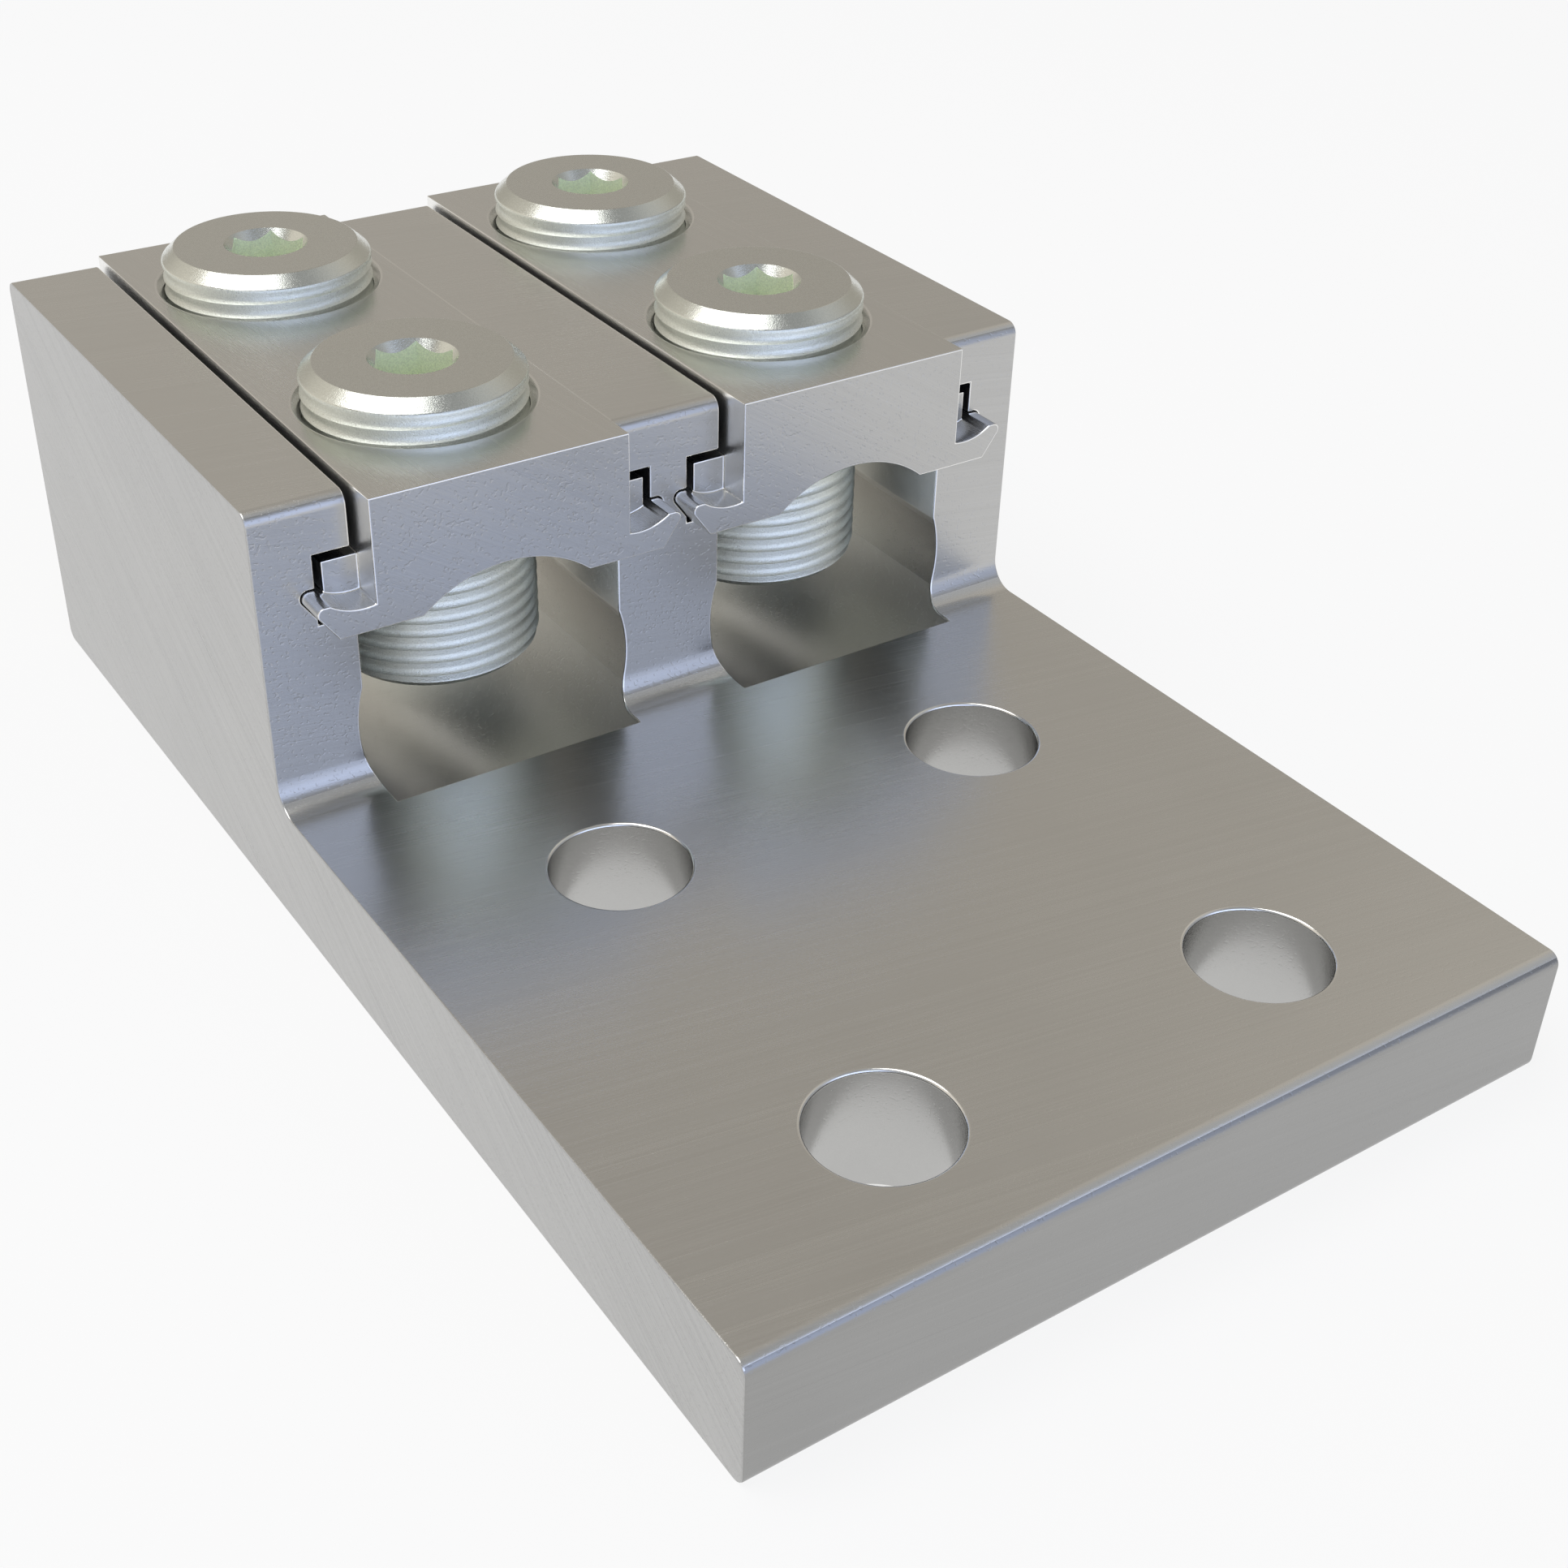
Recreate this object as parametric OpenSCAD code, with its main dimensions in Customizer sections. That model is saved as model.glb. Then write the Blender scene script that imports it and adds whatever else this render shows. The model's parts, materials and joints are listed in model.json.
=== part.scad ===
// Two-wire lay-in lug: an aluminium body with a bolt-down pad, and two yokes
// that slide in over the wires and carry two set screws each.
// Millimetres. The origin is the middle of the four pad holes on the underside,
// +Y runs from the pad towards the wire block and +Z is up.

/* [Body] */
// Metal outside each hook groove, at the body's sides
side_wall = 4.67; // [2:0.01:15]
// Metal left between the hook grooves of the two wireways
middle_wall = 1.4; // [1:0.01:10]
// Length of the flat pad in front of the block
pad_len = 87.31; // [80:0.01:120]
// Thickness of the pad
pad_t = 14.29; // [10:0.01:18]
// Length of the block that holds the wires
block_len = 69.85; // [62:0.01:90]
// Height of the block above the underside
block_h = 47.63; // [46:0.01:60]
// Rounding of the long outer edges that run across the body
edge_r = 1.4; // [0.5:0.1:2.5]
// Fillet between the pad and the face of the block
fillet_r = 3.2; // [1:0.1:5]

/* [Pad holes] */
// Diameter of the four bolt holes
hole_d = 14.29; // [8:0.01:18]
// Distance between hole centres, both ways
hole_pitch = 44.45; // [38:0.01:46]
// Distance from the pad's front edge to the front pair of holes
hole_edge = 15.88; // [12:0.01:20]
// Rounding of each hole's rim
rim_r = 0.36; // [0.2:0.01:1]

/* [Wireways] */
// Width of each wireway's open top
way_w = 30.16; // [29.5:0.01:31]
// Diameter of the round bottom of each wireway
bore_d = 31.75; // [31.2:0.01:33]
// Metal left under the round bottom
bore_floor = 4.73; // [3:0.01:6]
// How far each round bottom runs out over the pad
run_out = 5.08; // [4:0.01:10]

/* [Yoke slots] */
// Height of the slot floors above the underside
slot_z = 34; // [32:0.1:35]
// Height of each slot
slot_h = 7.76; // [7:0.01:8.5]
// Width across both slots of a wireway
slot_w = 38.2; // [37.5:0.01:39]
// Sliding clearance of a yoke in its slots, below and round its hooks
slide_gap = 0.1; // [0.05:0.01:0.2]

/* [Yokes] */
// How far a yoke stands out in front of the block
yoke_front = 3.9; // [2:0.1:6]
// How far a yoke stands out behind the block
yoke_back = 0.45; // [0.2:0.05:6]
// How far a yoke stands up above the block
yoke_proud = 0.7; // [0.2:0.1:3]
// Gap between a yoke and each wall of the open top
yoke_side_gap = 0.63; // [0.4:0.01:1]
// Gap beside each rib, between it and the slot's wall
rib_side_gap = 0.8; // [0.5:0.01:1.2]
// Gap above each rib
rib_top_gap = 0.91; // [0.5:0.01:1.5]
// How far the hook tips reach into the body past the slot walls
hook_reach = 1.53; // [1.2:0.01:1.8]
// Height of a hook's ridge above the yoke's underside
hook_h = 3.9; // [3.6:0.01:4.2]
// Radius of the rounded hook tip
hook_r = 0.75; // [0.5:0.01:0.9]
// Depth of the hollow between a hook and the side of the yoke
hook_dip = 1.15; // [0.8:0.01:1.4]
// Radius of that hollow
dip_r = 6.2; // [5:0.1:8]
// How far the flat underside stops short of the slot walls
foot_gap = 0.55; // [0.4:0.01:1]
// Radius of the arch that presses on the wire
arch_r = 14.65; // [12:0.01:18]
// Height of the arch
arch_rise = 3.5; // [2:0.1:4.5]

/* [Set screws] */
// Diameter over the thread
screw_d = 23.7; // [20:0.1:24.5]
// Length of each screw
screw_len = 33.4; // [28:0.1:36]
// How far each screw stands up above its yoke as drawn
screw_up = 4.4; // [3.5:0.1:8]
// Distance from the yoke's front end to the middle of its front screw
front_edge = 19.3; // [15:0.1:20]
// Distance from the middle of the rear screw to the yoke's rear end
rear_edge = 16.8; // [15:0.1:20]
// Radial clearance of a screw in its hole
screw_gap = 0.05; // [0.03:0.01:0.1]
// Width of the bevel round the top of a screw
bevel_w = 1.5; // [0.8:0.1:2]
// Height of that bevel
bevel_h = 1.35; // [0.8:0.05:2]
// Chamfer at the lower end of a screw
end_chamfer = 1.35; // [0.5:0.05:2]
// Pitch of the thread, drawn as plain rings
thread_pitch = 1.5875; // [1.2:0.0001:2.2]
// Depth of the thread as drawn
thread_depth = 0.45; // [0.3:0.01:0.6]
// Width across flats of the hex socket
hex_af = 7.94; // [6:0.01:10]
// Depth of the hex socket
hex_depth = 10; // [6:0.1:14]
// How much wider the round mouth of the socket is than the hex flats
mouth_extra = 1.56; // [1.3:0.01:2]
// Depth of the cone at the socket's mouth
mouth_h = 1.1; // [0.5:0.1:2]
// Countersink round each screw hole in a yoke
sink = 0.9; // [0.3:0.1:1.2]

/* [Hidden] */
$fn = 96;

// A cut runs this far past the face it leaves through
past = 1;

// Half widths, measured from the middle of a wireway
slot_half = slot_w / 2;
bar_half = way_w / 2 - yoke_side_gap;
rib_half = slot_half - rib_side_gap;
foot_half = slot_half - foot_gap;
tip_half = slot_half + hook_reach;
groove_half = tip_half + slide_gap;

// Places across the body
way_pitch = 2 * groove_half + middle_wall;
body_w = way_pitch + 2 * (groove_half + side_wall);
LEFT = -way_pitch / 2;
RIGHT = way_pitch / 2;

// Places along the body
pad_y = -hole_pitch / 2 - hole_edge;
block_y = pad_y + pad_len;
back_y = block_y + block_len;
yoke_y = block_y - yoke_front;
yoke_len = yoke_front + block_len + yoke_back;
FRONT = yoke_y + front_edge;
REAR = yoke_y + yoke_len - rear_edge;

// Levels
bore_z = bore_floor + bore_d / 2;
yoke_z = slot_z + slide_gap;
yoke_top = block_h + yoke_proud;
screw_top = yoke_top + screw_up;
rib_top = slot_z + slot_h - rib_top_gap;
ridge_z = yoke_z + hook_h;

// Middle of a hook's rounded tip, and the slope of its outer side
tip_x = tip_half - hook_r;
tip_z = ridge_z - hook_r;
hook_slope = 35;

// Radii of the screw and of its hole
screw_r = screw_d / 2;
screw_hole_r = screw_r + screw_gap;

// Rectangle with four rounded corners, from a lower left corner
module rounded_rect(x, y, w, h, r) {
    translate([x + r, y])
        square([w - 2 * r, h]);
    translate([x, y + r])
        square([w, h - 2 * r]);
    for (cx = [x + r, x + w - r], cy = [y + r, y + h - r])
        translate([cx, cy])
            circle(r);
}

// Side outline of the body: pad, block and the fillet between them
module body_outline() {
    rounded_rect(pad_y, 0, pad_len + block_len, pad_t, edge_r);
    rounded_rect(block_y, 0, block_len, block_h, edge_r);
    difference() {
        translate([block_y - fillet_r, pad_t - edge_r])
            square([fillet_r + edge_r, fillet_r + edge_r]);
        translate([block_y - fillet_r, pad_t + fillet_r])
            circle(fillet_r);
        translate([block_y, pad_t])
            square([edge_r, fillet_r]);
    }
}

// A flat outline in X and Z, drawn out along +Y from y
module along_y(y, length) {
    translate([0, y + length, 0])
        rotate([90, 0, 0])
            linear_extrude(length)
                children();
}

// Outline of one hook, from the side of the yoke to its tip.
// grow makes the matching groove in the body.
module hook_outline(grow = 0) {
    r = hook_r + grow;
    low = [tip_x + r * cos(hook_slope), tip_z - r * sin(hook_slope)];
    foot = [foot_half + grow * cos(hook_slope), yoke_z - grow * sin(hook_slope)];
    polygon([
        [bar_half - past, foot[1]],
        foot,
        low,
        [tip_x, tip_z],
        [tip_x, tip_z + r],
        [bar_half - past, tip_z + r]
    ]);
    translate([tip_x, tip_z])
        circle(r);
}

// Outline that is cut out of the body for one wireway
module way_outline() {
    translate([0, bore_z])
        circle(bore_d / 2);
    translate([-way_w / 2, bore_z])
        square([way_w, block_h - bore_z + past]);
    translate([-slot_half, slot_z])
        square([slot_w, slot_h]);
    for (side = [0, 1])
        mirror([side, 0])
            intersection() {
                hook_outline(slide_gap);
                translate([0, slot_z])
                    square([tip_half + past, slot_h]);
            }
}

// Outline of a yoke over its whole length: bar, hooks and the arch below
module yoke_outline() {
    difference() {
        translate([-bar_half, yoke_z])
            square([2 * bar_half, yoke_top - yoke_z]);
        translate([0, yoke_z + arch_rise - arch_r])
            circle(arch_r);
    }
    for (side = [0, 1])
        mirror([side, 0])
            difference() {
                hook_outline();
                translate([bar_half + hook_dip, ridge_z - hook_dip + dip_r])
                    circle(dip_r);
            }
}

// The ribs fill the slots inside the block and stop flush with its face
module rib_outline() {
    for (side = [-1, 1])
        translate([side * (bar_half + rib_half - past) / 2, (yoke_z + rib_top) / 2])
            square([rib_half - bar_half + past, rib_top - yoke_z], center = true);
}

// Bolt hole with rounded rims, standing on the underside
module bolt_hole() {
    translate([0, 0, -past])
        cylinder(r = hole_d / 2, h = pad_t + 2 * past);
    for (face = [0, 1])
        translate([0, 0, face * pad_t])
            mirror([0, 0, face])
                rotate_extrude()
                    difference() {
                        translate([hole_d / 2 - rim_r, -past])
                            square([2 * rim_r, rim_r + past]);
                        translate([hole_d / 2 + rim_r, rim_r])
                            circle(rim_r);
                    }
}

module lug_body() {
    color([0.73, 0.72, 0.69])
        difference() {
            rotate([90, 0, 90])
                linear_extrude(body_w, center = true)
                    body_outline();
            for (x = [LEFT, RIGHT])
                translate([x, 0, 0])
                    along_y(block_y - run_out, block_len + run_out + past)
                        way_outline();
            for (x = [-1, 1], y = [-1, 1])
                translate([x * hole_pitch / 2, y * hole_pitch / 2, 0])
                    bolt_hole();
        }
}

// A yoke over the wireway at x
module yoke(x) {
    color([0.66, 0.65, 0.62])
        difference() {
            translate([x, 0, 0]) {
                along_y(yoke_y, yoke_len)
                    yoke_outline();
                along_y(block_y, yoke_len - 2 * yoke_front)
                    rib_outline();
            }
            for (y = [FRONT, REAR])
                translate([x, y, 0]) {
                    translate([0, 0, yoke_z - past])
                        cylinder(r = screw_hole_r, h = yoke_top - yoke_z + 2 * past);
                    translate([0, 0, yoke_top - sink])
                        cylinder(r1 = screw_hole_r, r2 = screw_hole_r + 2 * sink, h = 2 * sink);
                }
        }
}

// Half section of a screw, from its lower end at 0 to its top
module screw_section() {
    turns = floor((screw_len - end_chamfer - bevel_h) / thread_pitch) - 1;
    root = screw_len - bevel_h - thread_pitch;
    difference() {
        polygon([
            [0, 0],
            [screw_r - end_chamfer, 0],
            [screw_r, end_chamfer],
            [screw_r, screw_len - bevel_h],
            [screw_r - bevel_w, screw_len],
            [0, screw_len]
        ]);
        for (i = [0 : turns])
            translate([screw_r, root - i * thread_pitch])
                polygon([
                    [-thread_depth, 0],
                    [thread_depth, thread_depth],
                    [thread_depth, -thread_depth]
                ]);
    }
}

// A set screw with a hex socket, standing in its yoke at x, y
module set_screw(x, y) {
    color([0.66, 0.68, 0.64])
        translate([x, y, screw_top - screw_len])
            difference() {
                rotate_extrude()
                    screw_section();
                translate([0, 0, screw_len - hex_depth])
                    cylinder(r = hex_af / 2 / cos(30), h = hex_depth + past, $fn = 6);
                translate([0, 0, screw_len - mouth_h])
                    cylinder(
                        r1 = hex_af / 2,
                        r2 = hex_af / 2 + mouth_extra / 2 * (mouth_h + past) / mouth_h,
                        h = mouth_h + past
                    );
            }
}

module left_yoke() { yoke(LEFT); }
module right_yoke() { yoke(RIGHT); }
module left_front_screw() { set_screw(LEFT, FRONT); }
module left_rear_screw() { set_screw(LEFT, REAR); }
module right_front_screw() { set_screw(RIGHT, FRONT); }
module right_rear_screw() { set_screw(RIGHT, REAR); }

lug_body();
left_yoke();
right_yoke();
left_front_screw();
left_rear_screw();
right_front_screw();
right_rear_screw();
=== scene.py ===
# %% [markdown]
# # A lay-in lug for two thick wires
# This lesson dresses a terminal that is already drawn as exact solids: an
# aluminium body with a bolt-down pad, two yokes that slide in over the wires,
# and four set screws with hex sockets. The solids give every size and place.
# Here each piece is shaped again by hand, with the broken edges, fillets and
# true threads that catch the light, and gets the finish of the real metal.

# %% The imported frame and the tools
import json
from math import atan2, cos, hypot, pi, radians, sin, sqrt, tau
import bpy
import bmesh
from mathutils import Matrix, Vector

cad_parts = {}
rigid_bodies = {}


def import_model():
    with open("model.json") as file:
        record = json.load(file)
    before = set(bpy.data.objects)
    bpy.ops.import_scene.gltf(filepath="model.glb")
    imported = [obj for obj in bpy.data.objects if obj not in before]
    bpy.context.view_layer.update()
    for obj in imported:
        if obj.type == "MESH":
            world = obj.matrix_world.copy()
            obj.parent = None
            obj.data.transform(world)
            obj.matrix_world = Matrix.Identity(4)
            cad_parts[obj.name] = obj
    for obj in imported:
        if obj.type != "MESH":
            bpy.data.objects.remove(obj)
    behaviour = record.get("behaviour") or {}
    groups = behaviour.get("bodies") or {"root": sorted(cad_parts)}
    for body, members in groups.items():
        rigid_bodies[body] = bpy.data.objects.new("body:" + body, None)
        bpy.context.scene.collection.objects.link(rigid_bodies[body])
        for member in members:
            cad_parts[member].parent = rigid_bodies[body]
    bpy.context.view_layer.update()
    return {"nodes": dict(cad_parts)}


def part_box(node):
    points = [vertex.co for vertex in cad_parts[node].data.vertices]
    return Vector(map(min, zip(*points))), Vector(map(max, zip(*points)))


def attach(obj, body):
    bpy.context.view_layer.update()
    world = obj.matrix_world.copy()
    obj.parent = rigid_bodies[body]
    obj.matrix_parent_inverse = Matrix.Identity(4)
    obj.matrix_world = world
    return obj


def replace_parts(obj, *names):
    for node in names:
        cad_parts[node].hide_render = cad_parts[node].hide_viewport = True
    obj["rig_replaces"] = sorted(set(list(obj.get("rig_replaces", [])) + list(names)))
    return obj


# A new Blender file starts with a cube, a camera and a lamp of its own.
for leftover in list(bpy.data.objects):
    bpy.data.objects.remove(leftover)
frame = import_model()
mm = 0.001
print("pieces in the frame:", ", ".join(sorted(frame["nodes"])))

# %% [markdown]
# ## The camera first
# A product picture is mostly its viewpoint: a lens a little longer than the
# eye's, above the front left corner, close enough that the pad widens towards
# us. Setting it first means every later look is judged from the same place.

# %% Camera at the picture's angle
lens = bpy.data.cameras.new("picture_lens")
lens.lens = 50.05
lens.sensor_width = 36
lens.clip_start = 10 * mm
lens.clip_end = 20
camera = bpy.data.objects.new("picture_camera", lens)
camera.location = Vector((-109.76, -130.35, 143.003)) * mm
camera.rotation_euler = [radians(a) for a in (55.9542, -1.5508, -34.0222)]
bpy.context.scene.collection.objects.link(camera)
bpy.context.scene.camera = camera
print("camera is", round(camera.location.length / mm), "mm from the pad's middle")

# %% [markdown]
# ## Working as by hand
# An operator acts on whatever is selected, so each step starts by clearing the
# selection and taking up one object. In edit mode, faces and edges are picked
# by a question about their place or direction, as one would click them.

# %% Taking up one object
def put_down():
    if bpy.context.object and bpy.context.object.mode == "EDIT":
        bpy.ops.object.mode_set(mode="OBJECT")
    bpy.ops.object.select_all(action="DESELECT")


def take(piece, edit=False, whole=False):
    """Takes up one object. In edit mode nothing or the whole of it is picked."""
    put_down()
    piece.select_set(True)
    bpy.context.view_layer.objects.active = piece
    if edit or whole:
        bpy.ops.object.mode_set(mode="EDIT")
        bpy.ops.mesh.select_all(action="SELECT" if whole else "DESELECT")
    return piece


def call_it(name):
    """Names the new primitive."""
    piece = bpy.context.object
    piece.name = name
    piece.data.name = name
    bpy.ops.object.transform_apply(location=True, rotation=True, scale=True)
    return piece


put_down()

# %% Picking in edit mode
def pick(kind, question):
    """Selects only the vertices, edges or faces that answer yes."""
    bpy.ops.mesh.select_mode(type=kind)
    bpy.ops.mesh.select_all(action="DESELECT")
    work = bmesh.from_edit_mesh(bpy.context.object.data)
    work.normal_update()
    items = {"VERT": work.verts, "EDGE": work.edges, "FACE": work.faces}[kind]
    found = 0
    for item in items:
        if question(item):
            item.select_set(True)
            found += 1
    work.select_flush_mode()
    bmesh.update_edit_mesh(bpy.context.object.data)
    return found


def middle(item):
    """Middle of an edge or face, in millimetres."""
    corners = item.verts
    return sum((v.co for v in corners), Vector()) / len(corners) / mm


def near(a, b, slack=0.01):
    return abs(a - b) < slack

# %% Extruding and welding what is picked
def extrude(step):
    """Extrudes what is picked by a step along x, y and z, in metres."""
    bpy.ops.mesh.extrude_region_move(TRANSFORM_OT_translate={"value": step})


def weld(reach):
    """Merges all vertices that lie closer together than this, in millimetres."""
    bpy.ops.mesh.select_all(action="SELECT")
    bpy.ops.mesh.remove_doubles(threshold=reach * mm)

# %% [markdown]
# ## The body's sizes
# The body is one length of extruded aluminium, sawn off and milled. All of the
# numbers below are the drawing's own, in millimetres, so that the shaped piece
# fits the solid to a hair.

# %% Sizes of the body
# Half its width, then its places along the wire, its heights and its roundings.
BODY_HALF = 46.83
PAD_FRONT, FACE, BACK = -38.105, 49.205, 119.055
PAD_TOP, BLOCK_TOP = 14.29, 47.63
EDGE_ROUND, INNER_ROUND = 1.4, 3.2
# The wireways: their middles, where the mill starts, the round bottom's radius
# and height, and how far a wall stands from the middle.
WAYS = (-21.43, 21.43)
WAY_FRONT = 44.125
BORE_R, BORE_Z, WALL = 15.875, 20.605, 15.08
# The slots, and the hook that goes into them: its sloping foot, its round tip
# and the play round it.
SLOT_LOW, SLOT_HIGH, SLOT_HALF = 34.0, 41.76, 19.1
HOOK_FOOT, HOOK_LOW, HOOK_LEAN = 18.55, 34.1, radians(35)
TIP_X, TIP_Z, TIP_R, PLAY = 19.88, 37.25, 0.75, 0.1
# The bolt holes: radius, distance from the pad's middle lines, rounded rim.
HOLE_R, HOLE_AT, RIM = 7.145, 22.225, 0.36
box_low, box_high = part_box("lug_body")
print("solid body:", [round(v / mm, 2) for v in (*box_low, *box_high)])

# %% [markdown]
# ## The blank: pad and block
# The extruded bar is an L seen from the side. I start from a box as large as
# the pad and the block's foot together, split it at the block's face, pull the
# rear up, and then round the long edges, which the die leaves soft. The saw
# cuts at both sides stay sharp for now.

# %% Box, split and pull up
def looks_up(face):
    return face.normal.z > 0.9


bpy.ops.mesh.primitive_cube_add(
    size=1,
    location=(0, (PAD_FRONT + BACK) / 2 * mm, PAD_TOP / 2 * mm),
    scale=(2 * BODY_HALF * mm, (BACK - PAD_FRONT) * mm, PAD_TOP * mm),
)
body = call_it("lug_body_metal")
take(body, whole=True)
bpy.ops.mesh.bisect(plane_co=(0, FACE * mm, 0), plane_no=(0, 1, 0))
pick("FACE", lambda f: looks_up(f) and middle(f).y > FACE)
extrude((0, 0, (BLOCK_TOP - PAD_TOP) * mm))
bpy.ops.mesh.select_all(action="SELECT")
bpy.ops.mesh.dissolve_limited(angle_limit=radians(1))
print("faces of the blank:", len(bmesh.from_edit_mesh(body.data).faces))

# %% Round the long edges
def runs_across(edge):
    a, b = edge.verts
    return abs(a.co.x - b.co.x) > BODY_HALF * mm


def at_corner(edge):
    at = middle(edge)
    return near(at.y, FACE) and near(at.z, PAD_TOP)


def is_square(edge):
    """True where two faces meet at a right angle, not where they only turn."""
    return edge.calc_face_angle(0) > 1


pick("EDGE", lambda e: runs_across(e) and at_corner(e))
bpy.ops.mesh.bevel(offset=INNER_ROUND * mm, segments=12, affect="EDGES")
rounded = pick("EDGE", lambda e: runs_across(e) and is_square(e))
bpy.ops.mesh.bevel(offset=EDGE_ROUND * mm, segments=8, affect="EDGES")
print("long edges rounded:", rounded)

# %% [markdown]
# ## A pen for outlines
# The wireway and the yoke are outlines drawn out along the wire. An outline is
# drawn with one vertex as the pen: extruding it draws a line, spinning it
# draws an arc. Only the right half is drawn, and a mirror makes the other.

# %% The pen
def pen_down(name, x, y, z):
    put_down()
    bpy.ops.mesh.primitive_plane_add(size=mm, location=(x * mm, y * mm, z * mm))
    piece = call_it(name)
    bpy.ops.object.mode_set(mode="EDIT")
    bpy.ops.mesh.select_mode(type="VERT")
    bpy.ops.mesh.select_all(action="SELECT")
    bpy.ops.mesh.merge(type="CENTER")
    return piece


def pen_point():
    """Where the pen stands, in metres."""
    work = bmesh.from_edit_mesh(bpy.context.object.data)
    return next(v.co.copy() for v in work.verts if v.select)


def line_to(x, z):
    """Draws a straight line to a place in the outline's upright plane."""
    here = pen_point()
    extrude((x * mm - here.x, 0, z * mm - here.z))


def arc_to(x, z, centre_x, centre_z, steps, left_turn=True):
    """Draws an arc round a centre, turning left or right as seen from the front."""
    here = pen_point()
    start = atan2(here.z / mm - centre_z, here.x / mm - centre_x)
    turn = (atan2(z - centre_z, x - centre_x) - start) % tau
    if not left_turn:
        turn -= tau
    centre = (centre_x * mm, here.y, centre_z * mm)
    bpy.ops.mesh.spin(steps=steps, angle=turn, center=centre, axis=(0, 1, 0))

# %% From half an outline to a solid bar
def draw_out(piece, length):
    """Mirrors a half outline, fills it and draws it out along the wire."""
    take(piece)
    mirror = piece.modifiers.new("other_half", "MIRROR")
    mirror.merge_threshold = 0.001 * mm
    bpy.ops.object.modifier_apply(modifier=mirror.name)
    take(piece, edit=True)
    weld(0.001)
    bpy.ops.mesh.edge_face_add()
    extrude((0, length * mm, 0))
    bpy.ops.mesh.select_all(action="SELECT")
    bpy.ops.mesh.normals_make_consistent(inside=False)
    put_down()
    return piece

# %% [markdown]
# ## The wireways
# Each wireway is milled along the body: a round bottom for the wire, straight
# walls to the open top, and a slot in each wall in which a yoke slides, with a
# small groove for its hook. The mill starts 5 mm in front of the block, which
# leaves the straight step across the pad.

# %% Half outline of a wireway
groove_r = TIP_R + PLAY
low_x = TIP_X + groove_r * cos(HOOK_LEAN)
low_z = TIP_Z - groove_r * sin(HOOK_LEAN)
foot_x = HOOK_FOOT + PLAY * cos(HOOK_LEAN)
foot_z = HOOK_LOW - PLAY * sin(HOOK_LEAN)
lip_z = foot_z + (SLOT_HALF - foot_x) * (low_z - foot_z) / (low_x - foot_x)
wall_z = BORE_Z + sqrt(BORE_R**2 - WALL**2)

mill = pen_down("way_mill", 0, WAY_FRONT, BORE_Z - BORE_R)
arc_to(WALL, wall_z, 0, BORE_Z, 56)
line_to(WALL, SLOT_LOW)
line_to(SLOT_HALF, SLOT_LOW)
line_to(SLOT_HALF, lip_z)
line_to(low_x, low_z)
arc_to(TIP_X, TIP_Z + groove_r, TIP_X, TIP_Z, 10)
line_to(SLOT_HALF, TIP_Z + groove_r)
line_to(SLOT_HALF, SLOT_HIGH)
line_to(WALL, SLOT_HIGH)
line_to(WALL, BLOCK_TOP + 1)
line_to(0, BLOCK_TOP + 1)
draw_out(mill, BACK - WAY_FRONT + 1)
print("half wireway drawn, lip of the hook groove at z", round(lip_z, 2))

# %% Copying, moving and combining
def slide(piece, x=0, y=0):
    """Moves a piece and writes the move into its mesh."""
    take(piece)
    bpy.ops.transform.translate(value=(x * mm, y * mm, 0))
    bpy.ops.object.transform_apply(location=True, rotation=True, scale=True)
    return piece


def copy_of(piece, name):
    take(piece)
    bpy.ops.object.duplicate(linked=False)
    twin = bpy.context.object
    twin.name = name
    twin.data.name = name
    return twin


def combine(piece, tool, how="DIFFERENCE"):
    """Cuts, adds or keeps what the tool covers, and throws the tool away."""
    take(piece)
    joint = piece.modifiers.new("combine", "BOOLEAN")
    joint.operation = how
    joint.solver = "EXACT"
    joint.object = tool
    bpy.ops.object.modifier_apply(modifier=joint.name)
    bpy.data.objects.remove(tool)
    return piece

# %% Mill both wireways
for way in WAYS:
    combine(body, slide(copy_of(mill, "way_cut"), x=way))
bpy.data.objects.remove(mill)
print("body faces after milling:", len(body.data.polygons))

# %% [markdown]
# ## Four bolt holes
# The holes are drilled through the pad and their rims are lightly rounded. A
# plain cylinder is the drill. The rims are then picked by their distance from
# the hole's middle and rounded with the bevel tool.

# %% Drill the holes
def cylinder(name, radius, low, high, at=(0, 0), sides=96, turn=0):
    """An upright cylinder from one height to another, in millimetres."""
    put_down()
    bpy.ops.mesh.primitive_cylinder_add(
        vertices=sides,
        radius=radius * mm,
        depth=(high - low) * mm,
        location=(at[0] * mm, at[1] * mm, (low + high) / 2 * mm),
        rotation=(0, 0, turn),
    )
    return call_it(name)


holes = [(x * HOLE_AT, y * HOLE_AT) for x in (-1, 1) for y in (-1, 1)]
for spot in holes:
    combine(body, cylinder("drill", HOLE_R, -1, PAD_TOP + 1, at=spot))
print("holes drilled at", holes)

# %% Round their rims
def from_hole(at):
    """How far a place lies from the middle of the nearest bolt hole."""
    return min(hypot(at.x - x, at.y - y) for x, y in holes)


def on_rim(edge):
    """True on the short level edges round a hole, at the pad's top and bottom."""
    a, b = edge.verts
    short = near(a.co.z, b.co.z, 0.01 * mm) and edge.calc_length() < mm
    level = middle(edge).z
    ends = (near(from_hole(v.co / mm), HOLE_R, 0.02) for v in (a, b))
    return short and (near(level, 0) or near(level, PAD_TOP)) and all(ends)


take(body, edit=True)
rims = pick("EDGE", on_rim)
bpy.ops.mesh.bevel(offset=RIM * mm, segments=4, affect="EDGES", clamp_overlap=False)
put_down()
print("rim edges rounded:", rims)

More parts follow.
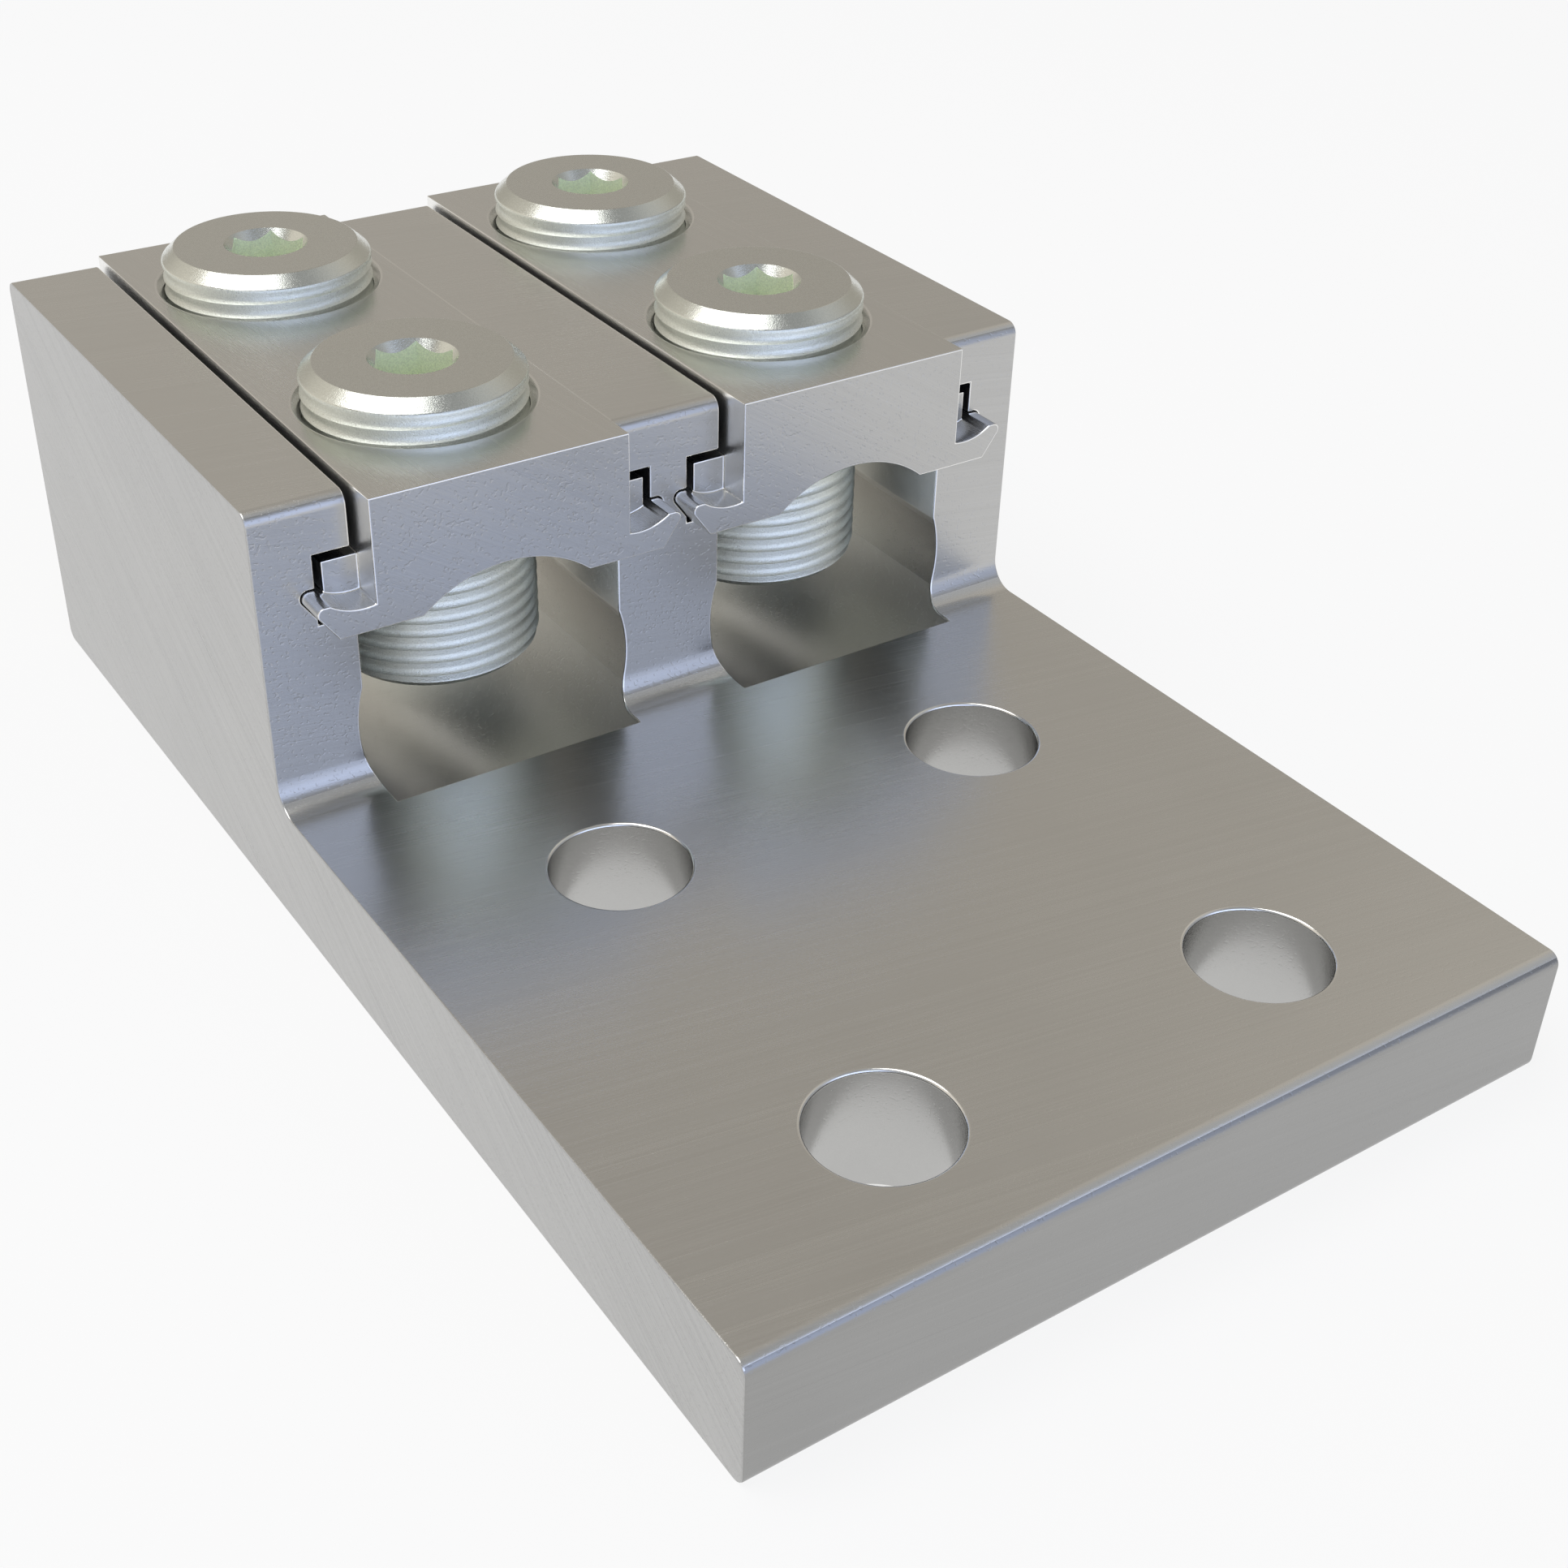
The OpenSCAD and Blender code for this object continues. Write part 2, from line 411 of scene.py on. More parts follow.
# %% [markdown]
# ## Breaking the sharp edges
# No cut edge on a real part is perfectly sharp: tumbling takes off about two
# tenths of a millimetre, and that narrow band is what draws the bright line
# round every face in the picture. Inside corners keep a small fillet from the
# cutter, which the same tool makes. Later these slim bands get a finish of
# their own: smoother because they are rubbed, and a lighter grey that is a
# painted highlight.

# %% A smooth look that keeps flat faces flat
def smooth(piece, sharper_than):
    """Smooth shading in which the large faces decide and the narrow bands turn.
    Edges sharper than so many degrees stay creases."""
    take(piece)
    bpy.ops.object.shade_smooth_by_angle(angle=radians(sharper_than))
    weigh = piece.modifiers.new("large_faces_lead", "WEIGHTED_NORMAL")
    weigh.mode = "FACE_AREA"
    weigh.weight = 100
    weigh.keep_sharp = True
    bpy.ops.object.modifier_apply(modifier=weigh.name)


# %% Break every sharp edge that is left
SHARP_FROM, SMOOTH_UP_TO = 25, 32  # degrees between two faces


def break_edges(piece, width):
    take(piece, edit=True)
    count = pick("EDGE", lambda e: e.calc_face_angle(0) > radians(SHARP_FROM))
    bpy.ops.mesh.bevel(offset=width * mm, segments=2, affect="EDGES", clamp_overlap=False)
    weld(0.002)
    put_down()
    smooth(piece, SMOOTH_UP_TO)
    return count


print("body edges broken:", break_edges(body, width=0.18))

# %% [markdown]
# ## A yoke
# A yoke is a short bar across the wireway. Its lower sides end in two hooks
# that hold the walls together when the screws press on the wire, a shallow
# arch underneath sits on the wire, and ribs at the sides fill the slots inside
# the block. One yoke is made and then copied.

# %% Sizes of a yoke
YOKE_FRONT, YOKE_BACK = 45.305, 119.505
BAR_HALF, YOKE_LOW, YOKE_TOP = 14.45, HOOK_LOW, 48.33
# The arch underneath, and the hollow between the bar and a hook with the ridge
# at its end: middle, radius and height.
ARCH_R, ARCH_Z, ARCH_TOP = 14.65, 22.95, 37.6
DIP_X, DIP_Z, DIP_R, RIDGE = 15.6, 43.05, 6.2, 38.0
# The ribs reach from inside the bar to the slots' walls.
RIB_LOW, RIB_TOP, RIB_FRONT, RIB_BACK = 36.1, 40.85, 49.205, 115.605
RIB_INNER, RIB_HALF = 12.0, 18.3
# The screw holes along the yoke, their countersink, and where the tool starts.
SCREWS_AT = (64.605, 102.705)
SCREW_HOLE_R, SINK, BORE_FROM = 11.9, 0.9, 30
dip_edge_z = DIP_Z - sqrt(DIP_R**2 - (DIP_X - BAR_HALF) ** 2)
ridge_x = DIP_X + sqrt(DIP_R**2 - (DIP_Z - RIDGE) ** 2)
arch_x = sqrt(ARCH_R**2 - (YOKE_LOW - ARCH_Z) ** 2)
print("the arch meets the underside", round(arch_x, 2), "mm from the middle")

# %% Draw the yoke's outline and draw it out
yoke = pen_down("yoke_metal", 0, YOKE_FRONT, ARCH_TOP)
arc_to(arch_x, YOKE_LOW, 0, ARCH_Z, 28, left_turn=False)
line_to(HOOK_FOOT, YOKE_LOW)
line_to(TIP_X + TIP_R * cos(HOOK_LEAN), TIP_Z - TIP_R * sin(HOOK_LEAN))
arc_to(TIP_X, RIDGE, TIP_X, TIP_Z, 10)
line_to(ridge_x, RIDGE)
arc_to(BAR_HALF, dip_edge_z, DIP_X, DIP_Z, 14, left_turn=False)
line_to(BAR_HALF, YOKE_TOP)
line_to(0, YOKE_TOP)
draw_out(yoke, YOKE_BACK - YOKE_FRONT)
print("yoke outline:", len(yoke.data.polygons) - 2, "sides")

# %% Add the ribs
for side in (-1, 1):
    put_down()
    bpy.ops.mesh.primitive_cube_add(
        size=1,
        location=(
            side * (RIB_HALF + RIB_INNER) / 2 * mm,
            (RIB_FRONT + RIB_BACK) / 2 * mm,
            (RIB_LOW + RIB_TOP) / 2 * mm,
        ),
        scale=(
            (RIB_HALF - RIB_INNER) * mm,
            (RIB_BACK - RIB_FRONT) * mm,
            (RIB_TOP - RIB_LOW) * mm,
        ),
    )
    combine(yoke, call_it("rib"), "UNION")
print("yoke with ribs:", len(yoke.data.polygons), "faces")

# %% Bore and countersink the screw holes
def spread(share, y=0):
    """Scales what is picked sideways, about the upright line at x 0 and this y."""
    bpy.ops.transform.resize(value=(share, share, 1), center_override=(0, y * mm, 0))


for y in SCREWS_AT:
    borer = cylinder("borer", SCREW_HOLE_R, BORE_FROM, YOKE_TOP - SINK, at=(0, y))
    take(borer, edit=True)
    pick("FACE", looks_up)
    extrude((0, 0, 2 * SINK * mm))
    spread((SCREW_HOLE_R + 2 * SINK) / SCREW_HOLE_R, y)
    put_down()
    combine(yoke, borer)
print("yoke edges broken:", break_edges(yoke, width=0.15))

# %% [markdown]
# ## A set screw
# A set screw is a plug with thread from end to end, 16 turns to the inch, with
# a bevel at its top, a chamfer at its foot and a hex socket with a coned mouth.
# Each turn is a cove that sweeps out to a slim crest and steps back under it.
# The foot of the cove looks up at the lamp, which makes each turn flash. The
# thread has to be a true spiral, because its run-out under the bevel shows, so
# one turn's profile is wound up with the Screw modifier and the ends are then
# turned to shape.

# %% Sizes of a screw
SCREW_R, SCREW_LEN, SCREW_TOP = 11.85, 33.4, 52.73
SCREW_LOW = SCREW_TOP - SCREW_LEN
PITCH, THREAD_DEEP, CREST, STEP_BACK = 1.5875, 0.42, 0.05, 0.1
BEVEL_W, BEVEL_H, CHAMFER, LAND = 1.5, 1.35, 1.35, 0.35
HEX_R, HEX_DEPTH, MOUTH_LOW_R, MOUTH_R, MOUTH_H = 4.584, 10, 3.97, 4.75, 1.1
# The land and the blank stand a hair over the thread, so that no faces meet.
LAND_OVER, BLANK_OVER = 0.03, 0.04
# Steps round a turn and up a cove.
TURN_STEPS, COVE_STEPS = 96, 6
print("turns along a screw:", round(SCREW_LEN / PITCH, 1))

# %% One turn's profile, wound up
steepest = radians(56)
cove_r = THREAD_DEEP / (1 - cos(steepest))


def cove(share):
    """A point of the cove over a crest, from its steep foot to its upright top."""
    lean_back = steepest * (1 - share)
    r = SCREW_R - THREAD_DEEP + cove_r * (1 - cos(lean_back))
    return r, CREST + cove_r * (sin(steepest) - sin(lean_back))


profile = [(SCREW_R, 0)]
profile += [cove(step / COVE_STEPS) for step in range(COVE_STEPS + 1)]
profile += [(SCREW_R - THREAD_DEEP, PITCH - STEP_BACK), (SCREW_R, PITCH)]
wound_from = SCREW_LOW - 1.5 * PITCH
spare_turns = 4
plug = pen_down("screw_metal", SCREW_R, 0, wound_from)
for r, rise in profile[1:]:
    line_to(r, wound_from + rise)
take(plug)
winding = plug.modifiers.new("thread", "SCREW")
winding.axis = "Z"
winding.angle = tau
winding.screw_offset = PITCH * mm
winding.iterations = int(SCREW_LEN / PITCH) + spare_turns
winding.steps = TURN_STEPS
winding.render_steps = TURN_STEPS
winding.use_merge_vertices = True
winding.merge_threshold = 0.001 * mm
bpy.ops.object.modifier_apply(modifier=winding.name)
print("wound thread:", len(plug.data.polygons), "faces")

# %% Close the wound tube at both ends
take(plug, edit=True)
weld(0.002)
bpy.ops.mesh.select_all(action="SELECT")
bpy.ops.mesh.fill_holes(sides=0)
bpy.ops.mesh.select_all(action="SELECT")
bpy.ops.mesh.normals_make_consistent(inside=False)
work = bmesh.from_edit_mesh(plug.data)
print("open edges left on the thread:", sum(e.is_boundary for e in work.edges))
put_down()

# %% A plain land under the bevel, where the thread runs out
land = cylinder(
    "land", SCREW_R + LAND_OVER, SCREW_TOP - BEVEL_H - LAND, SCREW_TOP + 1, sides=TURN_STEPS
)
combine(plug, land, "UNION")
print("thread with its land:", len(plug.data.polygons), "faces")

# %% A turned blank with a bevel and a chamfer
def is_ridge(edge, level):
    """True on the sharp level edges at this height."""
    return near(middle(edge).z, level) and edge.calc_face_angle(0) > 0.3


turned = cylinder(
    "turned_shape",
    SCREW_R + BLANK_OVER,
    SCREW_LOW + CHAMFER,
    SCREW_TOP - BEVEL_H,
    sides=TURN_STEPS,
    turn=pi / TURN_STEPS,
)
take(turned, edit=True)
for up, rise, inward in ((1, BEVEL_H, BEVEL_W), (-1, CHAMFER, CHAMFER)):
    pick("FACE", lambda f: f.normal.z * up > 0.9)
    extrude((0, 0, up * rise * mm))
    spread((SCREW_R - inward) / (SCREW_R + BLANK_OVER))
pick("EDGE", lambda e: is_ridge(e, SCREW_TOP - BEVEL_H))
bpy.ops.mesh.bevel(offset=0.25 * mm, segments=3, affect="EDGES")
pick("EDGE", lambda e: is_ridge(e, SCREW_TOP))
bpy.ops.mesh.bevel(offset=0.08 * mm, segments=2, affect="EDGES")
put_down()
print("turned blank:", len(turned.data.polygons), "faces")

# %% Turn the thread's ends to the blank's shape
# Where both surfaces nearly meet, the cut leaves slivers, which are cleared.
SLIVER = 0.004
combine(plug, turned, "INTERSECT")
take(plug, edit=True)
weld(SLIVER)
bpy.ops.mesh.select_all(action="SELECT")
bpy.ops.mesh.dissolve_degenerate(threshold=SLIVER * mm)
put_down()
print("turned screw:", len(plug.data.polygons), "faces")

# %% Broach the hex socket and cone its mouth
socket_low = SCREW_TOP - HEX_DEPTH
hex_tool = cylinder("hex_tool", HEX_R, socket_low, SCREW_TOP + 1, sides=6, turn=pi / 6)
widest = max(hex_tool.data.vertices, key=lambda v: v.co.x)
print("a hex corner lies at", [round(c / mm, 2) for c in widest.co.xy])
combine(plug, hex_tool)
put_down()
wide_r = MOUTH_LOW_R + (MOUTH_R - MOUTH_LOW_R) * (MOUTH_H + 1) / MOUTH_H
bpy.ops.mesh.primitive_cone_add(
    vertices=TURN_STEPS,
    radius1=MOUTH_LOW_R * mm,
    radius2=wide_r * mm,
    depth=(MOUTH_H + 1) * mm,
    location=(0, 0, (SCREW_TOP - MOUTH_H + (MOUTH_H + 1) / 2) * mm),
)
combine(plug, call_it("mouth_tool"))
smooth(plug, 30)
print("finished screw:", len(plug.data.polygons), "faces")

# %% [markdown]
# ## Every piece in its place
# The yoke and the screw were made at the middle of the object. Now the yoke is
# copied over both wireways and the screw into all four holes. Each copy keeps
# its own mesh, stands for its solid, and rides on that solid's body.

# %% Copy, place and hand over to the frame
def hand_over(piece, node, rides_on):
    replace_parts(piece, node)
    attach(piece, rides_on)


hand_over(body, "lug_body", "body")
yokes, screws = [], []
for side, way in zip(("left", "right"), WAYS):
    over = slide(copy_of(yoke, side + "_yoke_metal"), x=way)
    hand_over(over, side + "_yoke", side + "_yoke_body")
    yokes.append(over)
    for end, y in zip(("front", "rear"), SCREWS_AT):
        name = side + "_" + end + "_screw"
        standing = slide(copy_of(plug, name + "_metal"), x=way, y=y)
        hand_over(standing, name, name + "_body")
        screws.append(standing)
bpy.data.objects.remove(yoke)
bpy.data.objects.remove(plug)
put_down()
for piece in (body, *yokes, *screws):
    piece.data.calc_loop_triangles()
    print(piece.name, len(piece.data.loop_triangles), "triangles")

# %% [markdown]
# ## Writing shader sums in plain words
# A finish is mostly arithmetic on patterns. The small class below wraps a
# socket, so that `1 - streaks * 0.2` adds its own Math nodes. Every other node
# comes from one method, which sets the node up and then plugs in its values.

# %% A socket that can be added and multiplied
class Flow:
    def __init__(self, tree, socket):
        self.tree = tree
        self.socket = socket

    def math(self, operation, *others, first=None):
        node = self.tree.nodes.new("ShaderNodeMath")
        node.operation = operation
        terms = [self, *others] if first is None else [first, self]
        for place, term in enumerate(terms):
            if isinstance(term, Flow):
                self.tree.links.new(term.socket, node.inputs[place])
            else:
                node.inputs[place].default_value = term
        return Flow(self.tree, node.outputs[0])

    def __add__(self, other):
        return self.math("ADD", other)

    def __sub__(self, other):
        return self.math("SUBTRACT", other)

    def __mul__(self, other):
        return self.math("MULTIPLY", other)

    def __rsub__(self, other):
        return self.math("SUBTRACT", first=other)

    __radd__ = __add__
    __rmul__ = __mul__

# %% One method that makes every other node
OBJECT_PLACE, MIXED_COLOUR = 3, 2  # outputs of Texture Coordinate and of Mix


class Nodes:
    def __init__(self, tree):
        self.tree = tree

    def node(self, kind, settings=(), values=(), output=0):
        """Adds a node: its settings first, then the values or links of its sockets."""
        node = self.tree.nodes.new(kind)
        for key, value in dict(settings).items():
            setattr(node, key, value)
        for key, value in dict(values).items():
            if isinstance(value, Flow):
                self.tree.links.new(value.socket, node.inputs[key])
            else:
                node.inputs[key].default_value = value
        return Flow(self.tree, node.outputs[output])

    def rise(self, flow, low, high):
        """0 at low, 1 at high and soft between; low may be the larger one."""
        return self.node(
            "ShaderNodeMapRange",
            {"interpolation_type": "SMOOTHSTEP"},
            {"Value": flow, "From Min": low, "From Max": high},
        )

    def mixed(self, share, colour_a, colour_b):
        return self.node(
            "ShaderNodeMix",
            {"data_type": "RGBA"},
            {"Factor": share, "A": colour_a, "B": colour_b},
            output=MIXED_COLOUR,
        )

# %% A finish: a material with its patterns
class Finish(Nodes):
    def __init__(self, name, **constants):
        self.material = bpy.data.materials.new(name)
        self.material.use_nodes = True
        super().__init__(self.material.node_tree)
        self.shader = self.tree.nodes["Principled BSDF"]
        for socket, value in constants.items():
            self.shader.inputs[socket.replace("_", " ")].default_value = value

    def place(self, stretch, turn=(0, 0, 0)):
        """Object coordinates, stretched and turned for a pattern."""
        spot = self.node("ShaderNodeTexCoord", output=OBJECT_PLACE)
        return self.node(
            "ShaderNodeMapping",
            {"vector_type": "TEXTURE"},
            {"Vector": spot, "Rotation": turn, "Scale": stretch},
        )

    def noise(self, stretch, turn=(0, 0, 0), detail=2.0, roughness=0.5):
        where = self.place(stretch, turn)
        return self.node(
            "ShaderNodeTexNoise",
            {},
            {"Vector": where, "Scale": 1.0, "Detail": detail, "Roughness": roughness},
        )

    def tilt(self, height, distance):
        """Tilts the surface by a height pattern, its full height in millimetres."""
        bump = self.node(
            "ShaderNodeBump", {}, {"Strength": 1.0, "Distance": distance * mm, "Height": height}
        )
        self.feed("Normal", bump)

    def tint(self, share, colour, tone):
        """Varies a colour from a little darker to a little lighter."""
        dark, light = ((*(c * k for c in colour), 1) for k in (1 - tone, 1 + tone))
        self.feed("Base Color", self.mixed(share, dark, light))

    def feed(self, socket, flow):
        self.tree.links.new(flow.socket, self.shader.inputs[socket])

# %% [markdown]
# ## Brushed metal
# The body and the yokes are tin-plated aluminium with fine brush lines. Lines
# are noise that is stretched far along one direction, in three sizes: hair
# lines that only soften the shine, deeper ones that show singly, and broad
# soft bands. Tiny pits lie between them. All of them tilt the surface a little
# through Bump and change its roughness and tone a little. The direction
# follows how each face was made: across the body on its top and fronts,
# slanting on the sawn sides, along the wire on the yokes' tops. The greys
# differ too, and that is painted light and shade on one and the same tin:
# painted light in the wireways, painted shade on the fronts, sides, pad nose
# and bolt holes, near-black painted shade inside the slots, and a painted
# highlight on the slim broken edges, which are also rubbed smoother.

# %% The brushed finish
def brushed(name, along, grey, turn=(0, 0, 0), rough=0.3, depth=1.0, tone=0.05):
    """Tin with brush lines along X, Y or Z of the object, turned if asked."""
    made = Finish(name, Metallic=1.0)
    turn = [radians(angle) for angle in turn]

    def stretched(length, width):
        return [length * mm if axis == along else width * mm for axis in "XYZ"]

    hair = made.noise(stretched(30, 0.06), turn, detail=1.0)
    line = made.noise(stretched(90, 0.16), turn, detail=2.0, roughness=0.6)
    band = made.noise(stretched(120, 0.9), turn, detail=1.0)
    cloud = made.noise([14 * mm] * 3, detail=2.0)
    pit = made.rise(made.noise([0.35 * mm] * 3, detail=0.0), 0.66, 0.74)
    lines = hair * 0.35 + line * 0.45 + band * 0.2
    made.tilt(lines - pit * 0.7, depth * 0.005)
    made.feed("Roughness", (lines - 0.5) * 0.16 + (cloud - 0.5) * 0.06 + rough)
    warm = (grey, grey * 0.995, grey * 0.975)
    made.tint((lines - 0.5) * 1.8 + (cloud - 0.5) * 0.4 + 0.5, warm, tone)
    return made.material

# %% Every brushed finish on the part
LEVEL, SLANT = (0, 0, -9), (33, 0, 0)
FRONT, END = (0, 8, 0), (0, 32, 0)
# The greys below are painted light and shade on one tin: top and cap have the plain grey, and
# the rest are lighter or darker copies of it.
finishes = {
    "top": brushed("tin_brushed_top", "X", 0.78, LEVEL, rough=0.26),
    # painted shade: the front and back faces are darker than the tops
    "front": brushed("tin_brushed_front_painted_shade", "X", 0.52, FRONT, depth=3.4, tone=0.09),
    # painted shade: the pad's nose is darker still
    "nose": brushed("tin_milled_nose_painted_shade", "X", 0.35, FRONT, depth=2.2, tone=0.08),
    # painted shade: the sawn sides are darker than the tops
    "saw": brushed("tin_sawn_side_painted_shade", "Y", 0.475, SLANT, depth=5, tone=0.22),
    # painted light: the wireway floor and walls, and the yokes' sides and undersides, are
    # lighter than the tops
    "floor": brushed("tin_milled_floor_painted_light", "X", 0.93, LEVEL, rough=0.33, depth=2),
    "wall": brushed("tin_milled_wall_painted_light", "Y", 0.93, SLANT, rough=0.33, depth=2),
    # painted shade: the bolt holes are darker than the tops
    "drill": brushed("tin_drilled_hole_painted_shade", "X", 0.53, (0, 0, 45), rough=0.24),
    "cap": brushed("tin_yoke_top", "Y", 0.78, (0, 0, 5), rough=0.26),
    # painted shade: the yoke ends are darker than the yoke tops
    "end": brushed("tin_yoke_end_painted_shade", "X", 0.52, END, depth=3.4, tone=0.09),
    # painted shade: the slots' walls are nearly black
    "slot": brushed("tin_slot_wall_painted_shade", "Y", 0.12, rough=0.5),
    # painted highlight on the broken edges, which are also rubbed smoother
    "edge": brushed("tin_rubbed_edge_painted_highlight", "X", 0.88, rough=0.17, depth=0.5),
}
print("finishes:", ", ".join(finishes))

# %% Giving faces a finish
def give(piece, *names):
    """Gives a piece its finishes; all its faces start with the first one."""
    piece.data.materials.clear()
    for name in names:
        piece.data.materials.append(finishes[name])


def finish_faces(piece, name, question):
    """Picks faces in edit mode and assigns them the finish."""
    take(piece, edit=True)
    found = pick("FACE", question)
    worn = [material.name for material in piece.data.materials]
    piece.active_material_index = worn.index(finishes[name].name)
    bpy.ops.object.material_slot_assign()
    put_down()
    return found


def at_side(face):
    """True at the body's sawn sides."""
    return abs(middle(face).x) >= BODY_HALF - 0.5


def narrow(face):
    """True on the slim bands of broken edges, but not along the sawn sides."""
    width = 2 * face.calc_area() / face.calc_perimeter()
    slim = width < 0.155 * mm and max(abs(part) for part in face.normal) < 0.995
    return slim and not at_side(face)


def faces_along(face):
    """True where a face looks along the wire, to the front or the back."""
    return abs(face.normal.y) > 0.75

# %% Questions about the body's faces
def from_way(face):
    """How far a face lies from the middle of the nearer wireway, and how high."""
    at = middle(face)
    return min(abs(at.x - way) for way in WAYS), at.z


def flat_front(face):
    """True on the block's front and on the pad's own top."""
    pad = face.normal.z > 0.99 and middle(face).z > PAD_TOP - 0.2
    return abs(face.normal.y) > 0.5 or pad


def in_way(face):
    away, level = from_way(face)
    inside = away < WALL + 0.3 and 4 < level < SLOT_LOW
    return inside and middle(face).y > WAY_FRONT - 0.3 and not flat_front(face)


def in_slot(face):
    away, level = from_way(face)
    inside = away < 21 and SLOT_LOW - 0.1 < level < BLOCK_TOP - 0.2
    return inside and abs(face.normal.y) < 0.5


def in_hole(face):
    at = middle(face)
    return from_hole(at) < HOLE_R + 0.3 and 0.1 < at.z < PAD_TOP - 0.1


def upright(face):
    return abs(face.normal.x) > 0.7

# %% Finish the body, from its large faces to its slim edges
give(body, "top", "front", "nose", "saw", "floor", "wall", "drill", "slot", "edge")
where = {
    "front": faces_along,
    "nose": lambda f: f.normal.y < -0.75 and middle(f).y < PAD_FRONT + 1,
    "saw": lambda f: abs(f.normal.x) > 0.9 and at_side(f),
    "floor": lambda f: in_way(f) and not upright(f),
    "wall": lambda f: in_way(f) and upright(f),
    "slot": in_slot,
    "drill": in_hole,
    "edge": narrow,
}
for name, question in where.items():
    print(name, "faces of the body:", finish_faces(body, name, question))

# %% Finish both yokes
for over in yokes:
    give(over, "cap", "end", "floor", "edge")
    finish_faces(over, "end", faces_along)
    # The yokes' sides and undersides take the wireways' lighter grey, which is painted light.
    finish_faces(over, "floor", lambda f: f.normal.z < 0.3 and abs(f.normal.y) < 0.75)
    print("broken edges of a yoke:", finish_faces(over, "edge", narrow))

# %% [markdown]
# ## The screws' plating
# The screws have a thin plating that is passed through a pale green bath. The
# plating is grainy rather than brushed: its tiny crystals sparkle at the rim
# of a highlight. The sockets get a paler, greener copy of the plating, which is
# painted light standing for the light that bounces several times in them. Noise
# as fine as the crystals gives the grain, and it changes the colour, the
# roughness and the tilt of the surface together.

# %% The plated finish
def plated(name, colour, rough, grain, tone=0.1):
    made = Finish(name, Metallic=1.0)
    crystals = made.noise([0.16 * mm] * 3, detail=3.0, roughness=0.65)
    cloud = made.noise([3 * mm] * 3, detail=2.0)
    made.tilt(crystals, grain * 0.02)
    made.feed("Roughness", (crystals - 0.5) * 0.25 + (cloud - 0.5) * 0.1 + rough)
    made.tint((crystals - 0.5) * 1.8 + 0.5, colour, tone)
    return made.material


finishes.update({
    "bevel": plated("screw_plating_bevel", (0.79, 0.81, 0.76), 0.16, 1.0),
    "thread": plated("screw_plating_thread", (0.83, 0.86, 0.80), 0.32, 3.0, 0.16),
    "head": plated("screw_plating_head", (0.74, 0.745, 0.715), 0.26, 0.06),
    # painted light: the sockets are paler and greener than the rest of the plating
    "socket": plated("screw_plating_socket_painted_light", (0.90, 0.95, 0.81), 0.8, 4.0, 0.16),
})
print("finishes now:", len(finishes))

# %% Finish the screws
for screw in screws:
    low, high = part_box(screw["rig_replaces"][0])
    centre = (low + high) / 2 / mm

    def in_socket(face):
        at = middle(face)
        away = hypot(at.x - centre.x, at.y - centre.y)
        return away < HEX_R + 0.05 and SCREW_TOP - HEX_DEPTH - 0.5 < at.z < SCREW_TOP - 0.7

    give(screw, "bevel", "thread", "head", "socket")
    finish_faces(screw, "thread", lambda f: middle(f).z < SCREW_TOP - BEVEL_H)
    finish_faces(screw, "head", lambda f: f.normal.z > 0.95 and middle(f).z > SCREW_TOP - 0.1)
    print("socket faces of a screw:", finish_faces(screw, "socket", in_socket))

# %% [markdown]
# ## Floor, world and lamps
# The picture is a studio shot on white. The floor is a wide pale sheet that
# keeps the object's shadow. Where it is looked at, straight or by way of the
# metal, most of it is replaced by plain white, which adds no light to the
# object's own colours. The world is soft grey and a little warmer behind, with
# a broad cool panel low in front, because brushed metal shows little else
# than what is around it. A large soft lamp overhead gives the bevels and the
# thread their white flash.

# %% Floor
WHITE_SHARE = 0.85
CAMERA_RAY, GLOSSY_RAY, THROUGH_RAY = 0, 3, 6  # outputs of Light Path
bpy.ops.mesh.primitive_plane_add(size=6, location=(0, 0, -0.05 * mm))
floor = call_it("studio_floor")
sheet = Finish(
    "studio_white", Base_Color=(0.93, 0.93, 0.93, 1), Roughness=0.9, Specular_IOR_Level=0.0
)
camera_ray = sheet.node("ShaderNodeLightPath", output=CAMERA_RAY)
glossy_ray = sheet.node("ShaderNodeLightPath", output=GLOSSY_RAY)
through_ray = sheet.node("ShaderNodeLightPath", output=THROUGH_RAY)
seen = camera_ray.math("MAXIMUM", glossy_ray).math("MAXIMUM", through_ray)
white = sheet.node("ShaderNodeEmission", {}, {"Color": (1, 1, 1, 1), "Strength": 1.0})
lit = Flow(sheet.tree, sheet.shader.outputs[0])
shown = sheet.node("ShaderNodeMixShader", {}, {0: seen * WHITE_SHARE, 1: lit, 2: white})
sheet.tree.links.new(shown.socket, sheet.tree.nodes["Material Output"].inputs["Surface"])
floor.data.materials.append(sheet.material)
print("floor nodes:", len(sheet.tree.nodes))

